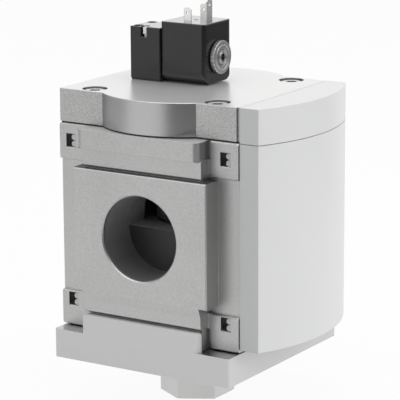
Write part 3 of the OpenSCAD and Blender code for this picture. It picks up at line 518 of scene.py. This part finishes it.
corner_fills = ((57, 65.98), (145.32, 155.6))
band_cut_span = (155.62, 168)
cuts = []
for hand in sides:
    corner = oblong(45, 50.98, hand * 39.5, hand * 42.6)
    fills += [solid for low, high in corner_fills for solid in on_sides(corner, low, high, "Z")]
    cuts += on_sides([(u, hand * v) for u, v in band_cut(band_ends[hand])], *band_cut_span, "Z")
band_fill = on_sides(oblong(45, 61.99, 39, band_ends[1]), 155.58, body_ends[1], "Z")
cast_body = reshape("cast_body", "main_body", [
    ("DIFFERENCE", rooms),
    ("UNION", sills),
    ("UNION", fills),
    ("UNION", band_fill),
    ("DIFFERENCE", cuts),
])
cast_skin = skin("cast aluminium", (0.42, 0.42, 0.418), (0.565, 0.565, 0.56),
                 grain=1250, contrast=1.9, rough=0.4, metal=1.0, radius=0.0004, bump=0.3, edge=0.5,
                 # The up-facing top under the cover is painted lighter and less metallic, a painted
                 # light.
                 patches=[(painted_light_shoulder, (0.6, 0.6, 0.595), 0.5, 0.3)],
                 # The port bore walls are painted lighter, a painted light, and their lower half and
                 # end walls darker, a painted shade.
                 hollows=[(in_port, (0.76, 0.765, 0.765), 0.6, 0.95),
                          (painted_shade_port_low, (0.33, 0.335, 0.335), 0.6, 0.95),
                          (painted_shade_port_end, (0.065, 0.065, 0.065), 0.5, 1.0),
                          # The pad's top in the groove under the sill is painted dark, a painted shade.
                          (painted_shade_pad_top, (0.2, 0.2, 0.2), 0.5, 1.0)])
give_finish(cast_body, cast_skin)

# Bright stamped tongues stand in the coupling pockets, two rounded lobes with a slot between.
# They are spring steel, pressed against the wall of each pocket.
tongue_steel = skin("tongue steel", (0.38, 0.38, 0.375), (0.56, 0.56, 0.555),
                    grain=900, contrast=0.8, rough=0.45, metal=0.9, bump=0.05)
finish_node(tongue_steel, "clamp_tongues")

# The exhaust seat and poppet are turned brass, and so are the throttle's screw and needle.
# The seat is pressed in, and the throttle is screwed into the top cover.
turned_brass = skin("turned brass", (0.5, 0.36, 0.14), (0.68, 0.52, 0.25),
                    grain=600, contrast=0.6, rough=0.32, metal=1.0, bump=0.05)
finish_node(turned_brass, "exhaust_seat", "exhaust_poppet", "throttle_screw", "throttle_needle")

# The main seat and poppet are turned too. They stand behind the port, where the photograph
# shows no brass, so their metal is grey.
grey_metal = skin("grey turned metal", (0.16, 0.16, 0.16), (0.26, 0.26, 0.26),
                  grain=700, contrast=0.7, rough=0.45, metal=1.0, bump=0.05)
finish_node(grey_metal, "main_seat", "main_poppet")

# Seals, gaskets and the coil's washer are moulded black rubber. They are vulcanised on, lie in
# a turned groove, or are clamped in a joint.
black_rubber = skin("black rubber", (0.018, 0.018, 0.018), (0.045, 0.045, 0.045),
                    grain=2500, contrast=1.2, rough=0.62, bump=0.2)
finish_node(black_rubber, "main_poppet_seal", "exhaust_poppet_seal", "piston_lip_seal", "stem_seal",
            "cup_seal", "cover_gasket", "base_gasket", "pilot_gasket", "coil_washer")

# The piston, its cup and the stem are turned from bar, bright and lightly greased. The armature
# slides in its tube against a small spring.
turned_metal = skin("turned metal", (0.4, 0.4, 0.41), (0.6, 0.6, 0.61),
                    grain=700, contrast=0.7, rough=0.28, metal=1.0, bump=0.05)
finish_node(turned_metal, "piston", "cylinder_cup", "valve_stem", "armature", "armature_tube",
            "armature_spring")

# The return spring is a coil of drawn wire. It stands on the piston and in a pocket of the top
# cover, and it is squeezed by the whole lift of the valve.
return_coil = put_in_scene("return_coil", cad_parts["return_spring"].data.copy())
give_finish(return_coil, turned_metal)
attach(return_coil, "housing")
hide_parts("return_spring")
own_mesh(return_coil)

# The base is a second casting with a smooth light grey coat. Its hexagonal boss holds the
# exhaust thread, and four screws pull it up against the body.
joint_face = 0.0445


def on_joint(tree):
    """The top of the base, which is machined flat where the body stands on it."""
    return up_at(tree, joint_face, slack=0.0002)


boss_height = 0.0268


def painted_light_boss(tree):
    """The hexagonal boss, which is given a metallic finish and painted lighter, a painted light under
    the base's shade.
    """
    return math_node(tree, "LESS_THAN", place_parts(tree)[0]["Z"], boss_height)


base_coat = skin("grey coat", (0.64, 0.645, 0.64), (0.72, 0.725, 0.72),
                 grain=2200, contrast=0.8, rough=0.38, radius=0.0006, bump=0.05, edge=0.2,
                 # The boss is painted lighter and metallic, a painted light under the base's shade.
                 patches=[(painted_light_boss, (0.78, 0.78, 0.775), 0.45, 0.6)],
                 hollows=[(on_joint, (0.55, 0.55, 0.55), 0.3, 1.0)])
tab_cut_span = (44.52, 57)
tab_cuts = on_sides([(u, -v) for u, v in band_cut(band_ends[-1])], *tab_cut_span, "Z")
base_casting = reshape("base_casting", "base_cover", [("DIFFERENCE", tab_cuts)])
give_finish(base_casting, base_coat)

# The top cover is a cast plate: its up-facing faces are smooth and painted lighter, a painted
# light from above, its sides keep the cast skin, and the bulge over each port is machined. Four
# socket screws hold it.
flat_side = 0.0503
side_fade = 0.0002


def on_bulge(tree):
    """The round bulges: what stands out of the flat sides."""
    return map_range(tree, place_parts(tree)[1], flat_side, flat_side + side_fade)


screw_off_x = 0.0413
screw_middle = 0.0012
screw_off_y = 0.042
screw_hole = 0.0076
rim_height = 0.1867


def painted_shade_screw_holes(tree):
    """The walls of the holes that the screw heads sink into, which are painted dark as painted shade.
    """
    parts, out = place_parts(tree)
    along = math_node(tree, "ABSOLUTE", math_node(tree, "SUBTRACT", parts["Y"], screw_middle))
    off_x = math_node(tree, "SUBTRACT", out, screw_off_x)
    off_y = math_node(tree, "SUBTRACT", along, screw_off_y)
    near = math_node(tree, "LESS_THAN", from_axis(tree, off_x, off_y), screw_hole)
    low = math_node(tree, "LESS_THAN", parts["Z"], rim_height)
    return math_node(tree, "MULTIPLY", near, low)


# The cover's front edge is cast out close to the plastic, with a round hollow for each of the
# snap pins that hold the plastic. Sizes here are in mm.
front_lip = [(-49, -58.3), (-49, -59.8), (-48.6, lip_front),
             (48.6, lip_front), (49, -59.8), (49, -58.3)]
cover_ends = (167.62, 186.98)
pin_across, pin_height = 34, 177.3
pin_room = 4.7
pin_depth = (-61, -58.55)
pin_steps = 24
pin_turns = [math.tau * i / pin_steps for i in range(pin_steps)]
pin_hole = [(pin_across + pin_room * math.cos(turn), pin_height + pin_room * math.sin(turn))
            for turn in pin_turns]
cover_plate = reshape("cover_plate", "top_cover", [
    ("UNION", [(front_lip, *cover_ends, "Z")]),
    ("DIFFERENCE", on_sides(pin_hole, *pin_depth, "Y")),
])
satin_cover = skin("satin metal", (0.31, 0.31, 0.308), (0.58, 0.58, 0.575),
                   grain=1100, contrast=2.2, rough=0.38, metal=1.0,
                   radius=0.0003, bump=0.12, edge=0.3,
                   patches=[(on_bulge, (0.48, 0.48, 0.478), 0.32, 1.0),
                            # Up-facing faces are painted lighter and less metallic, a painted light
                            # from above.
                            (on_top, (0.82, 0.82, 0.815), 0.28, 0.5)],
                   # The screw hole walls are painted dark, a painted shade.
                   hollows=[(painted_shade_screw_holes, (0.25, 0.25, 0.25), 0.5, 1.0)])
give_finish(cover_plate, satin_cover)

# The socket cap screws of the cover and the base, the pilot valve's screws and the nut on the
# stem are rolled steel, zinc plated and tightened from outside.
zinc = skin("zinc plate", (0.42, 0.42, 0.42), (0.64, 0.64, 0.63),
            grain=900, contrast=0.9, rough=0.3, metal=1.0, bump=0.06,
            # Up-facing tops are painted lighter and less metallic, a painted light from above.
            patches=[(on_top, (0.86, 0.86, 0.855), 0.3, 0.5)])
finish_node(zinc, "cover_screws", "base_screws", "stem_nut", "pilot_screws")

# The front is a light grey plastic moulding in two pieces, curved across its width.
# Snap pins hold it on the body and on the top cover.


def painted_shade_straight_side(tree):
    """The straight sides of the moulding, which are painted darker and rougher as painted shade."""
    return looks_along(tree, "X", start=0.9, full=0.97, both_ways=True)


front_plastic = skin("light grey plastic", (0.765, 0.768, 0.768), (0.825, 0.828, 0.828),
                     grain=3000, contrast=0.6, rough=0.36, radius=0.0006, bump=0.04, edge=0.1,
                     # The straight sides are painted darker, a painted shade.
                     patches=[(painted_shade_straight_side, (0.6, 0.608, 0.608), 0.5, 0.0)])
finish_node(front_plastic, "front_cover_lower", "front_cover_upper")

# The pilot valve and the coil are black glass-filled mouldings with a fine grain. The pilot is
# screwed on the cover, and the coil is pushed over the armature tube.
black_moulding = skin("black moulding", (0.008, 0.008, 0.009), (0.02, 0.02, 0.022),
                      grain=1800, contrast=1.0, rough=0.26, radius=0.0006, bump=0.05,
                      # Edges are brightened to a grey rim, a painted highlight.
                      edge=0.5, worn_and_lit_tone=(0.16, 0.16, 0.16), coat=on_top, Coat_Roughness=0.12,
                      # Up-facing tops are painted lighter, a painted light from above, under a clear
                      # coat.
                      patches=[(on_top, (0.09, 0.09, 0.09), 0.16, 0.0)])
finish_node(black_moulding, "pilot_body", "solenoid_coil")

# The round nut on the coil is turned steel, nickel plated, with fine grooves in its face.
# It is screwed on the end of the armature tube.
nickel = skin("nickel plate", (0.4, 0.4, 0.39), (0.58, 0.58, 0.57),
              grain=900, contrast=0.8, rough=0.38, metal=1.0, bump=0.05)
finish_node(nickel, "coil_nut")

# The flat contacts are stamped brass strip, tinned, and moulded into the coil. A cable socket
# goes on them.
tin = skin("tinned blade", (0.78, 0.78, 0.77), (0.92, 0.92, 0.9),
           grain=900, contrast=0.6, rough=0.25, metal=0.7, bump=0.03)
finish_node(tin, "power_blades", "earth_blade")

# The manual override is a small moulded tongue of white plastic. It sits in the slot of the
# pilot valve and is pressed down from above.
white_plastic = skin("white plastic", (0.88, 0.88, 0.87), (0.95, 0.95, 0.94),
                     grain=2000, contrast=0.5, rough=0.4, bump=0.05)
finish_node(white_plastic, "manual_override")
